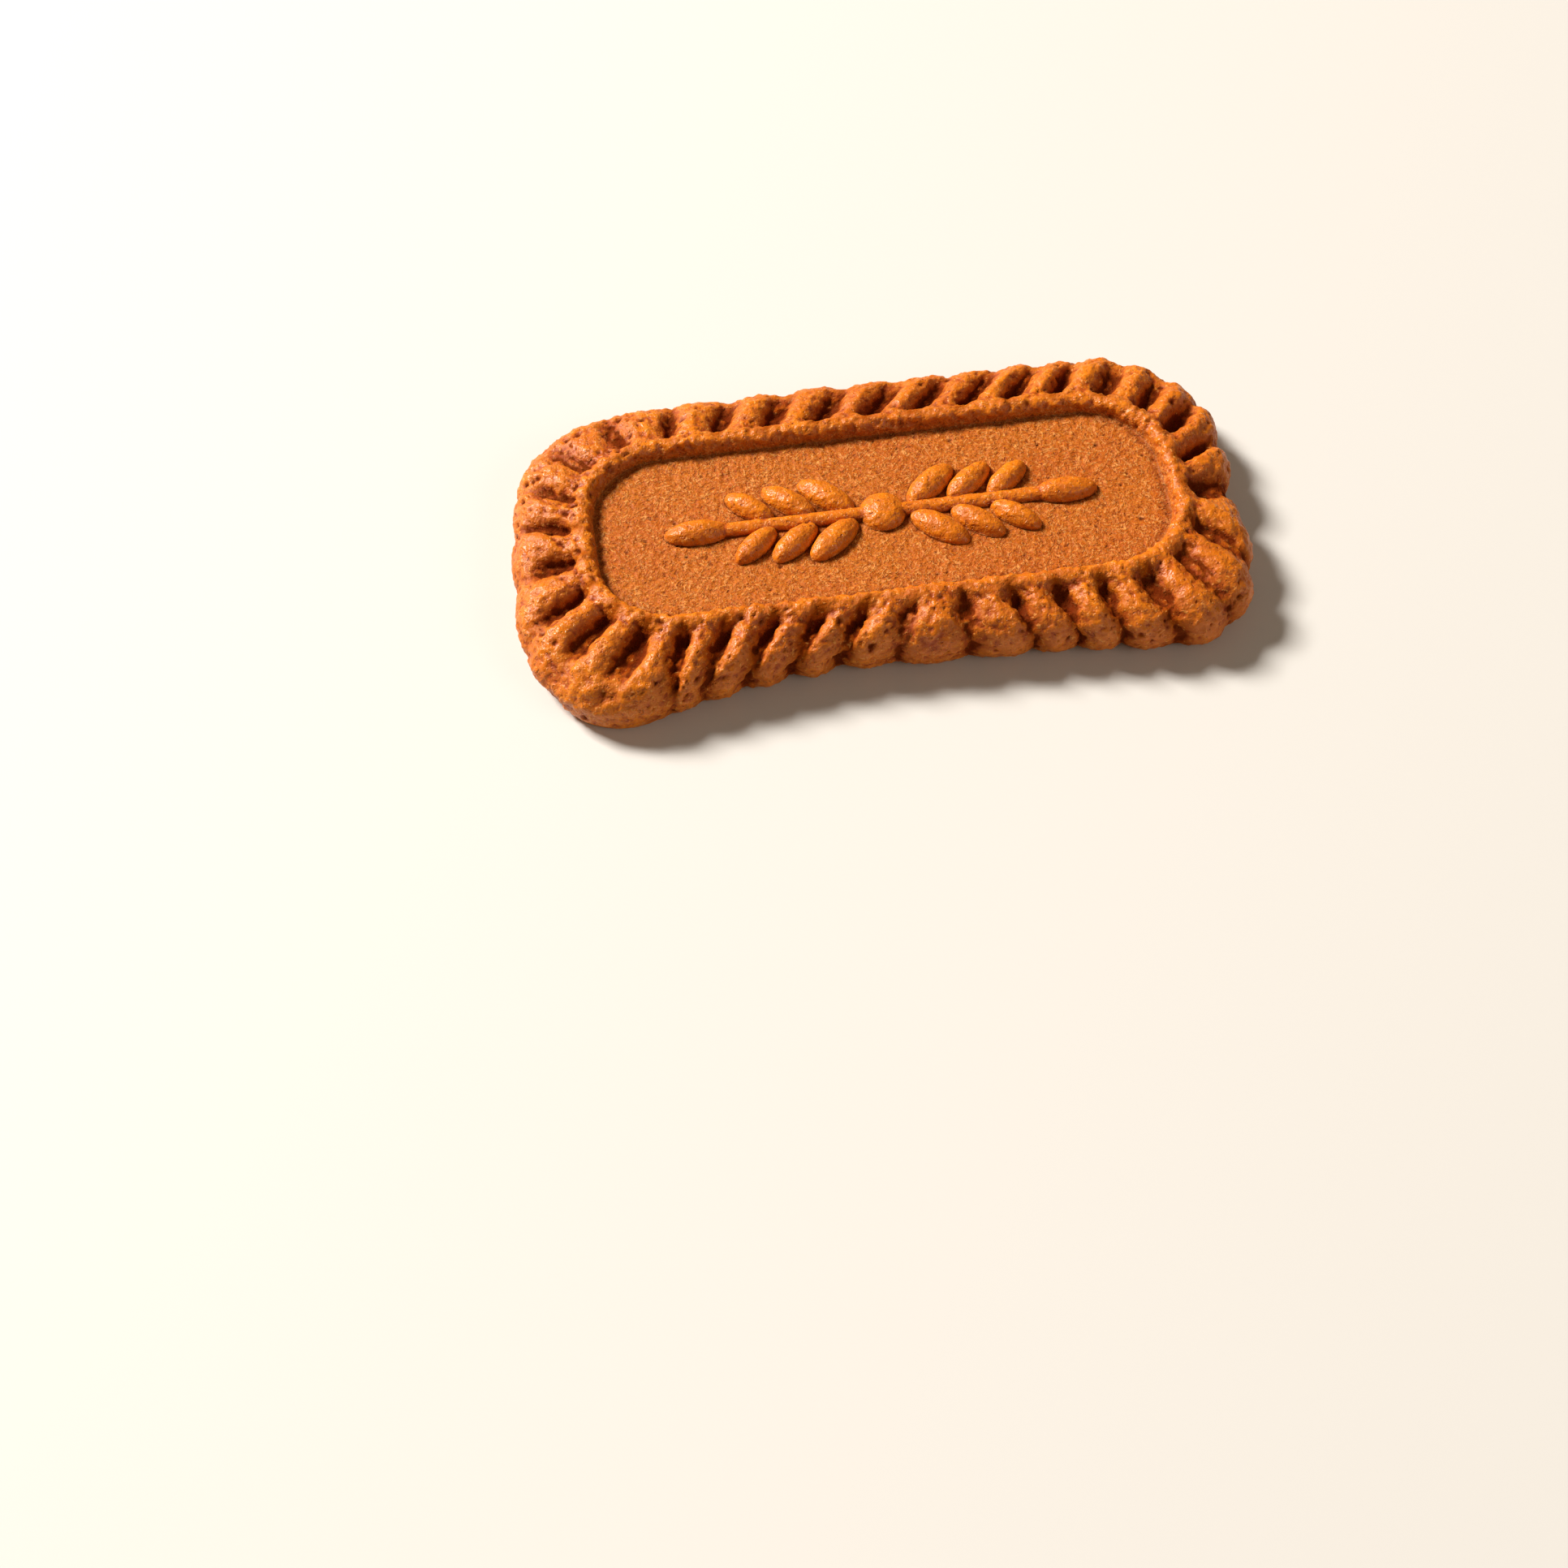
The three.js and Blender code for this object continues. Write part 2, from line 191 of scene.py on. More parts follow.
# Painted shade: the colour that the hollows are darkened towards.
HOLLOW_SHADE = (0.09, 0.009, 0.0002, 1)
# Painted shade in the pits dug into the mesh.
PIT_SHADE = (0.09, 0.010, 0.0005, 1)
NOISE_SHIFT = (37.0, 11.0, 5.0)  # keeps the second set of noises apart from the first

# The studio, in metres and watts. The floor reaches this far to each side.
FLOOR_REACH = 6
FLOOR_COLOUR = (0.62, 0.61, 0.59, 1)
FLOOR_ROUGHNESS = 0.7
WORLD_COLOUR = (1.0, 0.76, 0.52, 1)
WORLD_STRENGTH = 0.16
KEY_LIGHT = {"place": (-0.84, 0.68, 0.92), "size": 0.36, "power": 44.0, "colour": (1.0, 0.95, 0.88)}
FILL_LIGHT = {"place": (1.0, -0.9, 0.9), "size": 0.8, "power": 5.2, "colour": (1.0, 0.88, 0.76)}

# The camera: where it stands from the middle of the panel, in its own right, up and back directions.
AZIMUTH = math.radians(-8.6)
ELEVATION = math.radians(57.8)
OBJECT_RIGHT = 8.335
OBJECT_UP = 22.95
CAMERA_BACK = 184.3
LENS_MM = 50
SENSOR_MM = 36


def nearness(place, x, y):
    """How strongly points feel a local change: 1 at its middle, fading over its reach."""
    return np.exp(-((x - place[0]) ** 2 + (y - place[1]) ** 2) / place[2] ** 2)


def bell(value, middle, reach):
    """1 where a value is at the middle, fading to 0 on both sides."""
    return np.exp(-(((value - middle) / reach) ** 2))


def smoothstep(low, high, value):
    share = np.clip((value - low) / (high - low), 0, 1)
    return share * share * (3 - 2 * share)


def rounded_rectangle(x, y, length, width, radius):
    """Signed distance to a rounded rectangle, negative inside."""
    over_x = np.abs(x) - (length / 2 - radius)
    over_y = np.abs(y) - (width / 2 - radius)
    corner = np.hypot(np.maximum(over_x, 0), np.maximum(over_y, 0))
    return corner + np.minimum(np.maximum(over_x, over_y), 0) - radius


def outside_by(x, y):
    """Signed distance to the outline, negative inside."""
    swollen = sum(by * nearness((cx, cy, reach), x, y) for cx, cy, reach, by in OUTLINE_SWELLS)
    return rounded_rectangle(x, y, LENGTH, WIDTH, CORNER_RADIUS) - swollen


def outline_normal(x, y):
    """The outline's outward direction at points on it."""
    step = 0.05
    slope_x = outside_by(x + step, y) - outside_by(x - step, y)
    slope_y = outside_by(x, y + step) - outside_by(x, y - step)
    length = np.hypot(slope_x, slope_y)
    return slope_x / length, slope_y / length


def reach_to_outline(x, y, direction_x, direction_y):
    """How far points lie from the outline in a direction, by halving."""
    inside = np.zeros_like(x)
    outside = np.full_like(x, WIDTH / 2)
    for _ in range(24):
        middle = (inside + outside) / 2
        beyond = outside_by(x + direction_x * middle, y + direction_y * middle) > 0
        outside = np.where(beyond, middle, outside)
        inside = np.where(beyond, inside, middle)
    return inside


# The line along the top of the bead: straights and arcs, anticlockwise from the middle of the right side.
ARC = math.pi / 2 * BEAD_RADIUS
STRAIGHT_X = BEAD_LENGTH - 2 * BEAD_RADIUS
STRAIGHT_Y = BEAD_WIDTH - 2 * BEAD_RADIUS
STRETCHES = (STRAIGHT_Y / 2, ARC, STRAIGHT_X, ARC, STRAIGHT_Y, ARC, STRAIGHT_X, ARC, STRAIGHT_Y / 2)
BEAD_AROUND = sum(STRETCHES)


def bead_points(distance):
    """The bead's points at distances along it, and the outward direction at each as an angle."""
    left = np.mod(distance, BEAD_AROUND)
    outward = np.zeros_like(left)
    x = np.full_like(left, BEAD_LENGTH / 2)
    y = np.zeros_like(left)
    for i, stretch in enumerate(STRETCHES):
        step = np.clip(left, 0, stretch)
        if i % 2:
            turned = outward + step / BEAD_RADIUS
            x += BEAD_RADIUS * (np.cos(turned) - np.cos(outward))
            y += BEAD_RADIUS * (np.sin(turned) - np.sin(outward))
            outward = turned
        else:
            x -= np.sin(outward) * step
            y += np.cos(outward) * step
        left = left - step
    return x, y, outward


def lay_out_ribs():
    """Each rib's distance along the bead, half width and lean in radians; the first rib again at the end."""
    distances = np.linspace(0, BEAD_AROUND, 4000, endpoint=False)
    x, y, _ = bead_points(distances)
    starts = [distances[np.argmin(np.hypot(x - px, y - py))] for (px, py), _, _ in RIB_RUNS]
    ribs = []
    distance = starts[0]
    for i, (_, half_width, leans) in enumerate(RIB_RUNS):
        span = (starts[(i + 1) % len(starts)] - starts[i]) % BEAD_AROUND
        for lean in leans:
            ribs.append((distance, half_width, math.radians(lean)))
            distance += span / len(leans)
    ribs.append((ribs[0][0] + BEAD_AROUND, *ribs[0][1:]))
    return np.array(ribs).T


def rib_wobble(place, ring):
    """How far each rib wanders from its line at each ring, in pitches."""
    around = place * (2 * math.pi / RIB_COUNT)
    values = []
    for angle, r in zip(around.ravel(), ring.ravel()):
        circle = (math.cos(angle) * WOBBLE_ROUND, math.sin(angle) * WOBBLE_ROUND)
        values.append(noise.noise(Vector((*circle, r * WOBBLE_PER_RING + WOBBLE_SEED))))
    return RIB_WOBBLE * np.array(values).reshape(place.shape)


def ribness(place, reach, rib_half_width):
    """1 on the top of a rib and 0 on the floor of a groove, at every station and section ring."""
    rib = np.array(RIB_SECTION, float)
    place_grid, ring_grid = np.meshgrid(place, np.arange(len(rib)), indexing="ij")
    wandering = np.mod(place_grid + rib_wobble(place_grid, ring_grid), RIB_COUNT)
    nearest = np.round(wandering).astype(int) % RIB_COUNT
    from_bead = rib[:, 0] * reach[:, None] + np.maximum(rib[:, 1], 0)
    outer = smoothstep(0.4, 1.0, rib[:, 0])
    flare = RIB_FLARE * bell(from_bead, 0, RIB_FLARE_REACH)
    widths = rib_half_width[nearest] * (1 + flare + RIB_SWELL * outer)
    widths *= rng.uniform(*RIB_WIDTHS, RIB_COUNT)[nearest]
    from_top = np.abs(wandering - np.round(wandering)) / widths
    roundness = RIB_ROUNDNESS[0] + (RIB_ROUNDNESS[1] - RIB_ROUNDNESS[0]) * outer
    raised = np.maximum(0, 1 - from_top**2) ** roundness
    return raised * rng.uniform(*RIB_HEIGHTS, RIB_COUNT)[nearest]


def section_points():
    """Points at every station and section ring, and how much each is in a groove."""
    place = np.arange(RIB_COUNT * STATIONS_PER_RIB) / STATIONS_PER_RIB
    ribs = np.arange(RIB_COUNT + 1)
    rib_distance, rib_half_width, rib_lean = lay_out_ribs()
    x, y, outward = bead_points(np.interp(place, ribs, rib_distance))
    lean = np.interp(place, ribs, rib_lean)
    dx = np.cos(outward + lean)
    dy = np.sin(outward + lean)
    reach = reach_to_outline(x, y, dx, dy)
    edge_x = x + dx * reach
    edge_y = y + dy * reach

    rib = np.array(RIB_SECTION, float)
    groove = np.array(GROOVE_SECTION, float)
    on_bead = rib[:, 0] == 0
    on_side = rib[:, 0] == 1
    on_rim = rib[:, 0] > RIM_SHARE
    on_floor = (groove[:, 0] < 1) & (groove[:, 2] < PANEL_HEIGHT - FLOOR_BELOW_PANEL)

    filled = sum(share * nearness((cx, cy, r), x, y) for cx, cy, r, share in FILLED_GROOVES)
    spread = SPREAD[3] * nearness(SPREAD[:3], edge_x, edge_y)[:, None] * on_side
    filled_rim = RIM_FILL * np.maximum(smoothstep(*FAR_SIDE, edge_y), smoothstep(*LEFT_END, -edge_x))
    raised = ribness(place, reach, rib_half_width)
    for share in (filled[:, None], spread, filled_rim[:, None] * on_rim):
        raised = raised + (1 - raised) * share

    share, out, z = (groove[:, k] + (rib - groove)[:, k] * raised for k in range(3))
    deeper = DEEPER_GROOVES[3] * nearness(DEEPER_GROOVES[:3], edge_x, edge_y)
    z = z - deeper[:, None] * (1 - raised) * on_floor
    out = out * (1 - spread)
    along = share * reach[:, None] + np.where(on_bead, out / np.cos(lean)[:, None], 0)
    square = on_bead & (out < 0)
    out_x, out_y = outline_normal(edge_x, edge_y)
    px = x[:, None] + np.where(square, np.cos(outward)[:, None] * out, dx[:, None] * along)
    py = y[:, None] + np.where(square, np.sin(outward)[:, None] * out, dy[:, None] * along)
    px += np.where(on_bead, 0, out_x[:, None] * out)
    py += np.where(on_bead, 0, out_y[:, None] * out)
    rings = np.arange(len(rib))
    grooved = (rings > 0) & (rings < len(rings) - BEAD_RINGS)
    return np.stack([px, py, z], axis=2), (1 - raised) * grooved


def refine_rings(values, count):
    """More rings, evenly spaced along the surface, on a smooth curve through the ones given."""
    steps = np.linalg.norm(np.diff(values[:, :, :3], axis=1), axis=2).mean(axis=0)
    travelled = np.concatenate([[0], np.cumsum(steps)])
    at = np.interp(np.linspace(0, travelled[-1], count), travelled, np.arange(len(travelled)))
    low = np.minimum(at.astype(int), values.shape[1] - 2)
    t = (at - low)[None, :, None]
    last = values.shape[1] - 1
    before, start, end, after = (values[:, np.clip(low + k, 0, last)] for k in (-1, 0, 1, 2))
    bend = (2 * before - 5 * start + 4 * end - after) * t**2
    bend += (3 * start - before - 3 * end + after) * t**3
    return start + 0.5 * ((end - before) * t + bend)


def panel_points(edge):
    """Rings of the flat panel, from its edge in towards a line along its middle."""
    ridge_end = BEAD_LENGTH / 2 - BEAD_WIDTH / 2
    ridge = np.zeros_like(edge)
    ridge[:, 0] = np.clip(edge[:, 0], -ridge_end, ridge_end)
    ridge[:, 2] = PANEL_HEIGHT
    inward = np.linspace(0, PANEL_INWARD, PANEL_RINGS + 1)[1:]
    panel = edge[:, None] + (ridge - edge)[:, None] * inward[None, :, None]
    panel[:, :, 3] = 0
    return panel


def tablet_mesh():
    """The closed tablet without its relief, and a groove value for each of its vertices."""
    points, grooves = section_points()
    rings = refine_rings(np.concatenate([points, grooves[:, :, None]], axis=2), SECTION_RINGS)
    values = np.concatenate([rings, panel_points(rings[:, -1])], axis=1)
    stations, count = values.shape[:2]
    index = np.arange(stations * count).reshape(stations, count)
    following = np.roll(index, -1, axis=0)
    corners = [index[:, :-1], following[:, :-1], following[:, 1:], index[:, 1:]]
    faces = np.stack(corners, axis=2).reshape(-1, 4).tolist()
    faces.append(index[::-1, 0].tolist())
    faces.append(index[:, -1].tolist())
    mesh = bpy.data.meshes.new("biscuit_crumb")
    mesh.from_pydata((values[:, :, :3].reshape(-1, 3) * MM).tolist(), [], faces)
    shape = bmesh.new()
    shape.from_mesh(mesh)
    bmesh.ops.triangulate(shape, faces=[face for face in shape.faces if len(face.verts) > 4])
    shape.to_mesh(mesh)
    shape.free()
    return mesh, values[:, :, 3].ravel()


def to_object(shape, name):
    """A bmesh as an object of its own, not yet in the scene."""
    mesh = bpy.data.meshes.new(name)
    shape.to_mesh(mesh)
    shape.free()
    return bpy.data.objects.new(name, mesh)


def dome(x, y, length, width, turn):
    """An ellipsoid half sunk in the panel, with its poles at its two ends."""
    shape = bmesh.new()
    bmesh.ops.create_uvsphere(shape, u_segments=36, v_segments=22, radius=1)
    lying = Matrix.Rotation(math.pi / 2, 4, "Y")
    size = Matrix.Diagonal((length / 2 * MM, width / 2 * MM, RELIEF * MM, 1))
    turned = Matrix.Rotation(math.radians(turn), 4, "Z")
    place = Matrix.Translation(Vector((x, y, PANEL_HEIGHT)) * MM)
    bmesh.ops.transform(shape, matrix=place @ turned @ size @ lying, verts=shape.verts)
    return to_object(shape, "grain")


def stem():
    """A round bar along X, half sunk in the panel and cut fine enough to take the crumb."""
    shape = bmesh.new()
    radius = STEM_RADIUS * MM
    length = STEM_LENGTH * MM
    bmesh.ops.create_cone(shape, cap_ends=True, segments=24, radius1=radius, radius2=radius, depth=length)
    long_edges = [edge for edge in shape.edges if edge.calc_length() > length / 2]
    bmesh.ops.subdivide_edges(shape, edges=long_edges, cuts=STEM_CUTS)
    place = Matrix.Translation((0, 0, PANEL_HEIGHT * MM)) @ Matrix.Rotation(math.pi / 2, 4, "Y")
    bmesh.ops.transform(shape, matrix=place, verts=shape.verts)
    return to_object(shape, "stem")


def ears():
    """The stem, the boss in its middle, and pairs of grains and a tip grain on each side."""
    pieces = [stem(), dome(0, 0, 2 * BOSS_RADIUS, 2 * BOSS_RADIUS, 0)]
    for side in (-1, 1):
        for i in range(GRAIN_PAIRS):
            size = 1 - GRAIN_SMALLER * i
            x = side * (GRAIN_FIRST + GRAIN_PITCH * i)
            length = GRAIN_LENGTH * size
            width = GRAIN_WIDTH * size
            for half in (-1, 1):
                turn = side * half * GRAIN_TURN
                pieces.append(dome(x, half * GRAIN_ASIDE * size, length, width, turn))
        tip = side * (GRAIN_FIRST + GRAIN_PITCH * GRAIN_PAIRS + GRAIN_LENGTH / 4)
        pieces.append(dome(tip, 0, GRAIN_LENGTH, GRAIN_WIDTH, 0))
    return pieces


def join_relief(biscuit):
    """Joins the ears to the tablet, so that the mesh stays one closed surface."""
    pieces = ears()
    relief = bpy.data.collections.new("relief")
    bpy.context.scene.collection.children.link(relief)
    for piece in pieces:
        relief.objects.link(piece)
    union = biscuit.modifiers.new("relief", "BOOLEAN")
    union.operation = "UNION"
    union.operand_type = "COLLECTION"
    union.collection = relief
    union.solver = "MANIFOLD"
    joined = bpy.data.meshes.new_from_object(biscuit.evaluated_get(bpy.context.evaluated_depsgraph_get()))
    biscuit.modifiers.clear()
    biscuit.data = joined
    for piece in pieces:
        bpy.data.meshes.remove(piece.data)
    bpy.data.collections.remove(relief)


def coordinates(mesh):
    values = np.empty(len(mesh.vertices) * 3)
    mesh.vertices.foreach_get("co", values)
    return values.reshape(-1, 3) / MM


def normals(mesh):
    values = np.empty(len(mesh.vertices) * 3, np.float32)
    mesh.vertex_normals.foreach_get("vector", values)
    return values.reshape(-1, 3).astype(float)


def tree_of(points):
    tree = kdtree.KDTree(len(points))
    for i, point in enumerate(points.tolist()):
        tree.insert(point, i)
    tree.balance()
    return tree


def store(mesh, name, values):
    attribute = mesh.attributes.new(name, "FLOAT", "POINT")
    attribute.data.foreach_set("value", np.asarray(values, np.float32))


def lumps(points, kind, octaves=1):
    """How far smooth noise moves each point."""
    size, by, seed = kind
    scaled = (points / size + seed).tolist()
    if octaves == 1:
        return by * np.array([noise.noise(p) for p in scaled])
    return by * np.array([noise.fractal(p, 0.9, 2.0, octaves) for p in scaled])


def cobbles(points, kind):
    """How far round bumps with creases between them move each point."""
    size, by, seed = kind
    nearest = np.array([noise.voronoi(p)[0][0] for p in (points / size + seed).tolist()])
    return by * (0.5 - nearest)


def hollowness(mesh, points, facing):
    """How far each vertex lies below the surface round it, in mm: + in a hollow and - on a crest."""
    edges = np.empty(len(mesh.edges) * 2, np.int32)
    mesh.edges.foreach_get("vertices", edges)
    a, b = edges.reshape(-1, 2).T
    total = len(points)
    count = np.bincount(a, minlength=total) + np.bincount(b, minlength=total)
    smooth = points.copy()
    for _ in range(HOLLOW_ROUNDS):
        sums = [np.bincount(a, smooth[b, k], total) + np.bincount(b, smooth[a, k], total) for k in range(3)]
        smooth = np.stack(sums, axis=1) / count[:, None]
    return ((smooth - points) * facing).sum(axis=1)


def surface_regions(points):
    """How much each point is on the panel, on its relief, on the wall round it, and in the corner below."""
    from_bead = rounded_rectangle(points[:, 0], points[:, 1], BEAD_LENGTH, BEAD_WIDTH, BEAD_RADIUS)
    above = points[:, 2] > PANEL_HEIGHT - 1
    on_panel = from_bead < -PANEL_INSET - 0.4
    return SimpleNamespace(
        panel=smoothstep(-PANEL_INSET + 0.35, -PANEL_INSET - 0.1, from_bead) * above,
        relief=smoothstep(0.05, 0.35, points[:, 2] - PANEL_HEIGHT) * on_panel * above,
        wall=bell(from_bead, -0.75, 0.3) * above,
        corner=bell(from_bead, -PANEL_INSET, 0.4) * above,
    )


def roughen(points, region):
    """How far lumps and crumb move each point outwards."""
    band = 1 - region.panel
    move = band * lumps(points, BROAD_LUMPS)
    move += (band + 0.2 * region.relief + 0.1 * region.panel) * lumps(points, SMALL_LUMPS, octaves=2)
    move += (band + 0.3 * region.relief + region.wall) * cobbles(points, COBBLES)
    move += (band + 0.3 * region.relief) * cobbles(points, SMALL_COBBLES)
    move += (band + 0.5 * region.panel) * lumps(points, CRUMBS)
    move += region.panel * (1 - region.relief) * lumps(points, PANEL_WAVES)
    return move * smoothstep(*FOOT, points[:, 2])


def dig_pits(points, panel):
    """How much each point is in a pit, from 0 to 1, and how far the pits move it inwards."""
    tree = tree_of(points)
    pitted = np.zeros(len(points))
    dug = np.zeros(len(points))
    crusty = (1 - panel) * (1 + 3 * nearness(PITTED_CORNER, points[:, 0], points[:, 1]))
    weight = (crusty + 0.12 * panel) * (points[:, 2] > PITTED_ABOVE)
    for i in rng.choice(len(points), PIT_COUNT, p=weight / weight.sum(), replace=False):
        radius = rng.uniform(*PIT_RADIUS)
        if rng.uniform() < LARGE_PIT_CHANCE and panel[i] < 0.5:
            radius += LARGE_PIT_MORE
        for _, j, away in tree.find_range(points[i], radius):
            hollow = (1 - (away / radius) ** 2) ** 2
            pitted[j] = max(pitted[j], hollow)
            dug[j] += PIT_DEPTH * radius * hollow
    return pitted, dug


def bake_surface(mesh, tablet_points, tablet_grooves):
    """Moves the surface by lumps, crumb and pits, and stores where grooves, panel, pits and hollows are."""
    points = coordinates(mesh)
    tree = tree_of(tablet_points)
    groove = np.array([tablet_grooves[tree.find(p)[1]] for p in points.tolist()])
    region = surface_regions(points)
    move = roughen(points, region)
    pitted, dug = dig_pits(points, region.panel)
    moved = points + normals(mesh) * (move - dug)[:, None]
    moved[:, 2] = np.maximum(moved[:, 2], 0)
    mesh.vertices.foreach_set("co", (moved * MM).ravel())
    mesh.polygons.foreach_set("use_smooth", np.ones(len(mesh.polygons), bool))
    mesh.update()
    store(mesh, "groove", groove * (1 - region.panel))
    store(mesh, "panel", region.panel * (1 - region.relief))
    store(mesh, "pit", pitted)
    # The hollow value paints shade into hollows and light onto crests; the corner below the panel's wall
    # keeps little of it.
    store(mesh, "hollow", hollowness(mesh, moved, normals(mesh)) * (1 - 0.8 * region.corner))


def make(nodes, kind, inputs=None, **settings):
    """Adds a shader node. An input is given by name or number, as a value or as another node's output."""
    made = nodes.new(kind)
    for name, value in settings.items():
        setattr(made, name, value)
    for name, value in (inputs or {}).items():
        if isinstance(value, bpy.types.NodeSocket):
            nodes.id_data.links.new(value, made.inputs[name])
        else:
            made.inputs[name].default_value = value
    return made


def math_node(nodes, operation, a, b):
    return make(nodes, "ShaderNodeMath", {0: a, 1: b}, operation=operation).outputs[0]


def times(nodes, a, b):
    return math_node(nodes, "MULTIPLY", a, b)


def ramp(nodes, value, low, high, to_low=0.0, to_high=1.0):
    """Maps a range to another with a smooth start and end."""
    inputs = {"Value": value, "From Min": low, "From Max": high, "To Min": to_low, "To Max": to_high}
    return make(nodes, "ShaderNodeMapRange", inputs, interpolation_type="SMOOTHSTEP").outputs[0]


def blend_colour(nodes, share, a, b):
    inputs = {0: share, 6: a, 7: b}  # sockets 6 and 7 are the mix node's two colours
    return make(nodes, "ShaderNodeMix", inputs, data_type="RGBA").outputs[2]


def noise_node(nodes, coordinate, size, detail, roughness=0.55):
    inputs = {"Vector": coordinate, "Scale": 1 / size, "Detail": detail, "Roughness": roughness}
    return make(nodes, "ShaderNodeTexNoise", inputs).outputs[0]


def fibres(nodes, coordinate, patch, length, width):
    """Noise drawn out into fibres, which lie another way in each patch."""
    cells = make(nodes, "ShaderNodeTexVoronoi", {"Vector": coordinate, "Scale": 1 / patch})
    colour = make(nodes, "ShaderNodeSeparateColor", {0: cells.outputs["Color"]})
    angle = times(nodes, colour.outputs[0], 2 * math.pi)
    around_z = {"Vector": coordinate, "Angle": angle}
    turned = make(nodes, "ShaderNodeVectorRotate", around_z, rotation_type="Z_AXIS")
    stretch = {0: turned.outputs[0], 1: (1 / length, 1 / width, 1 / width)}
    drawn = make(nodes, "ShaderNodeVectorMath", stretch, operation="MULTIPLY")
    return noise_node(nodes, drawn.outputs[0], size=1.0, detail=1.0, roughness=0.5)


def dough_patterns(nodes):
    """The noises and shares, over the surface in mm, that make up the dough's colour, gloss and grain."""
    position = make(nodes, "ShaderNodeTexCoord").outputs["Object"]
    to_mm = {0: position, "Scale": 1 / MM}
    mm = make(nodes, "ShaderNodeVectorMath", to_mm, operation="SCALE").outputs[0]
    aside = make(nodes, "ShaderNodeVectorMath", {0: mm, 1: NOISE_SHIFT}).outputs[0]
    groove, panel, pit, hollow = (
        make(nodes, "ShaderNodeAttribute", attribute_name=name).outputs["Fac"]
        for name in ("groove", "panel", "pit", "hollow")
    )
    long = fibres(nodes, mm, patch=1.0, length=0.62, width=0.21)
    short = fibres(nodes, aside, patch=0.8, length=0.46, width=0.19)
    dots = noise_node(nodes, aside, size=0.34, detail=1.0)
    thinned = ramp(nodes, noise_node(nodes, mm, size=1.0, detail=1.0), 0.35, 0.6, to_low=0.35)
    return SimpleNamespace(
        patches=noise_node(nodes, mm, size=8.0, detail=2.0),
        mottle=noise_node(nodes, mm, size=1.8, detail=4.0, roughness=0.6),
        crumb=noise_node(nodes, mm, size=0.6, detail=2.0, roughness=0.5),
        grain=noise_node(nodes, aside, size=0.2, detail=1.0, roughness=0.5),
        flecks=math_node(nodes, "MAXIMUM", ramp(nodes, long, 0.57, 0.66), ramp(nodes, short, 0.57, 0.66)),
        gaps=math_node(nodes, "MAXIMUM", ramp(nodes, long, 0.38, 0.28), ramp(nodes, short, 0.37, 0.27)),
        flecked=times(nodes, panel, thinned),
        specks=ramp(nodes, dots, 0.62, 0.72),
        pores=ramp(nodes, dots, 0.36, 0.26),
        # From the hollow value: painted highlights on crests and painted shade in hollows; floor and pit also
        # mark painted shade.
        crest_highlights=ramp(nodes, hollow, 0.0, -0.09),
        shaded_hollows=ramp(nodes, hollow, 0.0, 0.12),
        floor=times(nodes, groove, math_node(nodes, "SUBTRACT", 1.0, panel)),
        panel=panel,
        pit=pit,
    )


def dough_colour(nodes, at):
    """Mottled crust, lighter on the crumb's bumps, with painted highlights on its crests, the panel's own
    colour, and then each pattern over both, painted shade and glints among them.
    """
    # Lighter where the crumb bumps rise: partly mottle, partly painted light and shade.
    crust = blend_colour(nodes, ramp(nodes, at.crumb, 0.36, 0.64), CRUST_DARK, CRUST_LIGHT)
    crust = blend_colour(nodes, ramp(nodes, at.mottle, 0.4, 0.7, to_high=0.5), crust, CRUST_MOTTLE)
    # Painted highlights on the crests.
    crust = blend_colour(nodes, times(nodes, at.crest_highlights, 0.5), crust, CREST_HIGHLIGHT)
    panel = blend_colour(nodes, ramp(nodes, at.grain, 0.3, 0.7), PANEL_DARK, PANEL_LIGHT)
    colour = blend_colour(nodes, at.panel, crust, panel)
    # Among these layers, the grooves' floors, the pores, the hollows and the pits take painted shade, and the
    # specks are partly painted glints.
    layers = (
        (ramp(nodes, at.patches, 0.4, 0.7), 0.3, BROAD_PATCH),
        (times(nodes, at.flecks, at.flecked), 0.42, FLECK),
        (times(nodes, at.gaps, at.flecked), 0.5, FLECK_GAP),
        (at.floor, 0.7, GROOVE_FLOOR_SHADE),
        (at.pores, 0.45, PORE_SHADE),
        (at.specks, 0.35, SPECK_AND_GLINT),
        (at.shaded_hollows, 0.8, HOLLOW_SHADE),
        (at.pit, 0.5, PIT_SHADE),
    )
    for pattern, strength, tint in layers:
        colour = blend_colour(nodes, times(nodes, pattern, strength), colour, tint)
    return colour


def dough_dullness(nodes, at):
    """1 in hollows, pits and the grooves' floors, where the dough is dull, and half that on the panel."""
    dull = times(nodes, at.panel, 0.5)
    for pattern in (at.shaded_hollows, at.pit, at.floor):
        dull = math_node(nodes, "MAXIMUM", dull, pattern)
    return dull


def dough_height(nodes, at):
    """The grain that is too fine for the mesh, in mm."""
    flecks = times(nodes, math_node(nodes, "SUBTRACT", at.flecks, at.gaps), at.flecked)
    height = times(nodes, at.crumb, 0.22)
    for pattern, by in ((at.grain, 0.04), (at.specks, 0.03), (at.pores, -0.05), (flecks, 0.05)):
        height = math_node(nodes, "ADD", height, times(nodes, pattern, by))
    return height


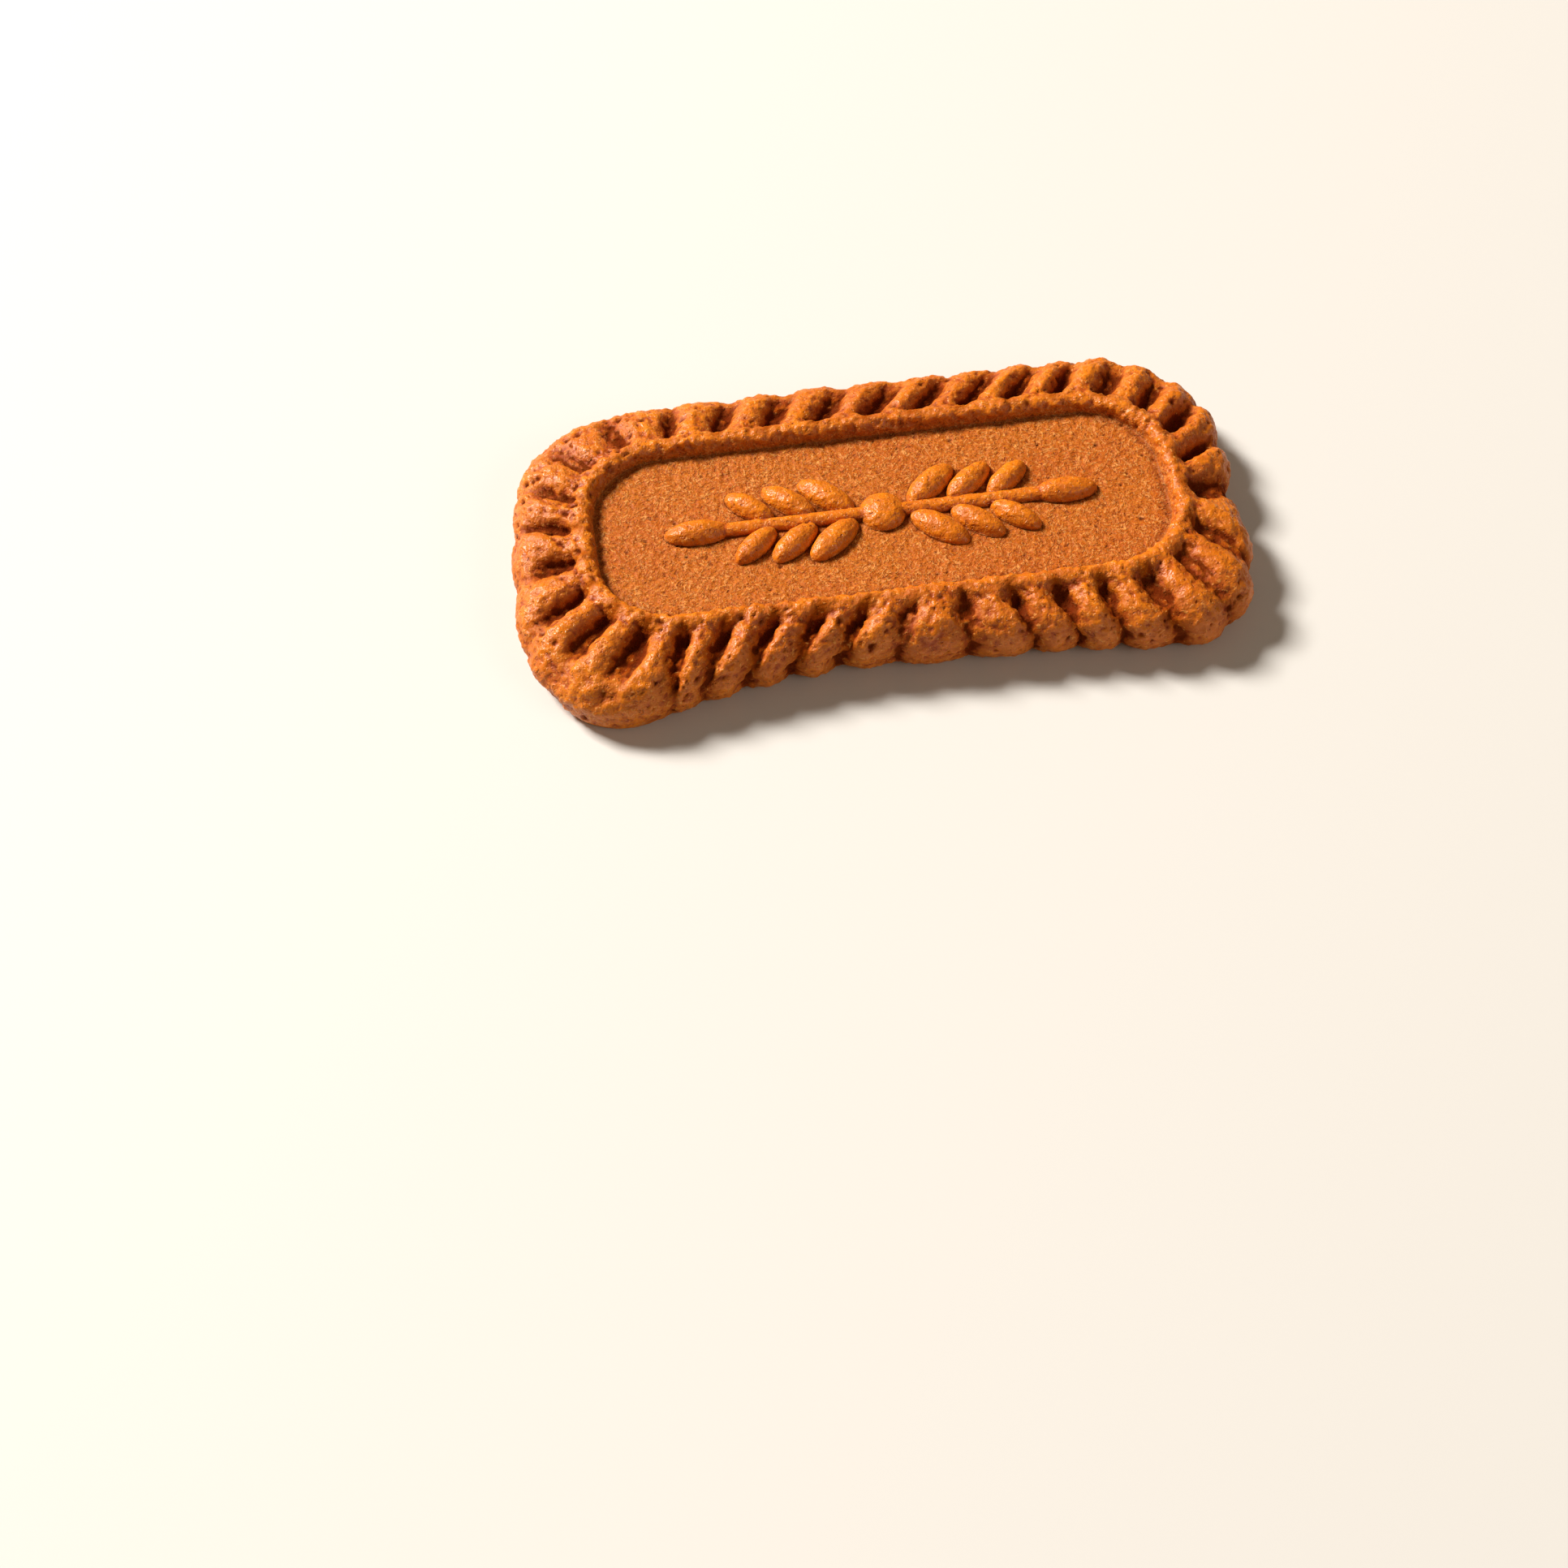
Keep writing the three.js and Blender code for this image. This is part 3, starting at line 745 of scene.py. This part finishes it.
def dough_material():
    material = bpy.data.materials.new("baked_dough")
    material.use_nodes = True
    nodes = material.node_tree.nodes
    nodes.clear()
    at = dough_patterns(nodes)
    dull = dough_dullness(nodes, at)
    rough = ramp(nodes, at.crumb, 0.35, 0.65, to_low=0.48, to_high=0.33)
    grain = {"Height": dough_height(nodes, at), "Strength": 1.0, "Distance": MM}
    dough = {
        "Base Color": dough_colour(nodes, at),
        "Roughness": math_node(nodes, "ADD", rough, times(nodes, dull, 0.45)),
        "Normal": make(nodes, "ShaderNodeBump", grain).outputs[0],
        "Specular IOR Level": ramp(nodes, dull, 0.0, 1.0, to_low=0.34, to_high=0.06),
        "Subsurface Weight": 0.3,
        "Subsurface Radius": (1.0, 0.3, 0.1),
        "Subsurface Scale": 0.5 * MM,
    }
    shader = make(nodes, "ShaderNodeBsdfPrincipled", dough)
    make(nodes, "ShaderNodeOutputMaterial", {"Surface": shader.outputs[0]})
    return material


def build_biscuit():
    mesh, tablet_grooves = tablet_mesh()
    tablet_points = coordinates(mesh)
    biscuit = bpy.data.objects.new("biscuit_crumb", mesh)
    bpy.context.scene.collection.objects.link(biscuit)
    join_relief(biscuit)
    bake_surface(biscuit.data, tablet_points, tablet_grooves)
    biscuit.data.materials.clear()
    biscuit.data.materials.append(dough_material())
    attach(biscuit, "root")
    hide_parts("biscuit")


def build_floor():
    material = bpy.data.materials.new("pale_floor")
    material.use_nodes = True
    shader = material.node_tree.nodes["Principled BSDF"]
    shader.inputs["Base Color"].default_value = FLOOR_COLOUR
    shader.inputs["Roughness"].default_value = FLOOR_ROUGHNESS
    shape = bmesh.new()
    bmesh.ops.create_grid(shape, x_segments=1, y_segments=1, size=FLOOR_REACH)
    floor = to_object(shape, "floor")
    floor.data.materials.append(material)
    bpy.context.scene.collection.objects.link(floor)


def add_area_light(name, place, size, power, colour):
    """A square light that faces the biscuit."""
    light = bpy.data.lights.new(name, "AREA")
    light.size = size
    light.energy = power
    light.color = colour
    lamp = bpy.data.objects.new(name, light)
    lamp.location = place
    lamp.rotation_euler = (-Vector(place)).to_track_quat("-Z", "Y").to_euler()
    bpy.context.scene.collection.objects.link(lamp)


def light_the_scene():
    world = bpy.data.worlds.new("studio")
    world.use_nodes = True
    background = world.node_tree.nodes["Background"]
    background.inputs["Color"].default_value = WORLD_COLOUR
    background.inputs["Strength"].default_value = WORLD_STRENGTH
    bpy.context.scene.world = world
    add_area_light("key", **KEY_LIGHT)
    add_area_light("fill", **FILL_LIGHT)
    bpy.context.scene.view_settings.view_transform = "Standard"


def place_camera():
    right = Vector((math.cos(AZIMUTH), math.sin(AZIMUTH), 0))
    level = math.cos(ELEVATION)
    back = Vector((math.sin(AZIMUTH) * level, -math.cos(AZIMUTH) * level, math.sin(ELEVATION)))
    up = back.cross(right)
    aim = Vector((0, 0, PANEL_HEIGHT))
    stand = aim - right * OBJECT_RIGHT - up * OBJECT_UP + back * CAMERA_BACK
    facing = Matrix((right, up, back)).transposed().to_4x4()
    camera = bpy.data.objects.new("camera", bpy.data.cameras.new("camera"))
    camera.data.lens = LENS_MM
    camera.data.sensor_width = SENSOR_MM
    camera.data.clip_start = 0.01
    camera.matrix_world = Matrix.Translation(stand * MM) @ facing
    bpy.context.scene.collection.objects.link(camera)
    bpy.context.scene.camera = camera


place_camera()
light_the_scene()
build_floor()
build_biscuit()
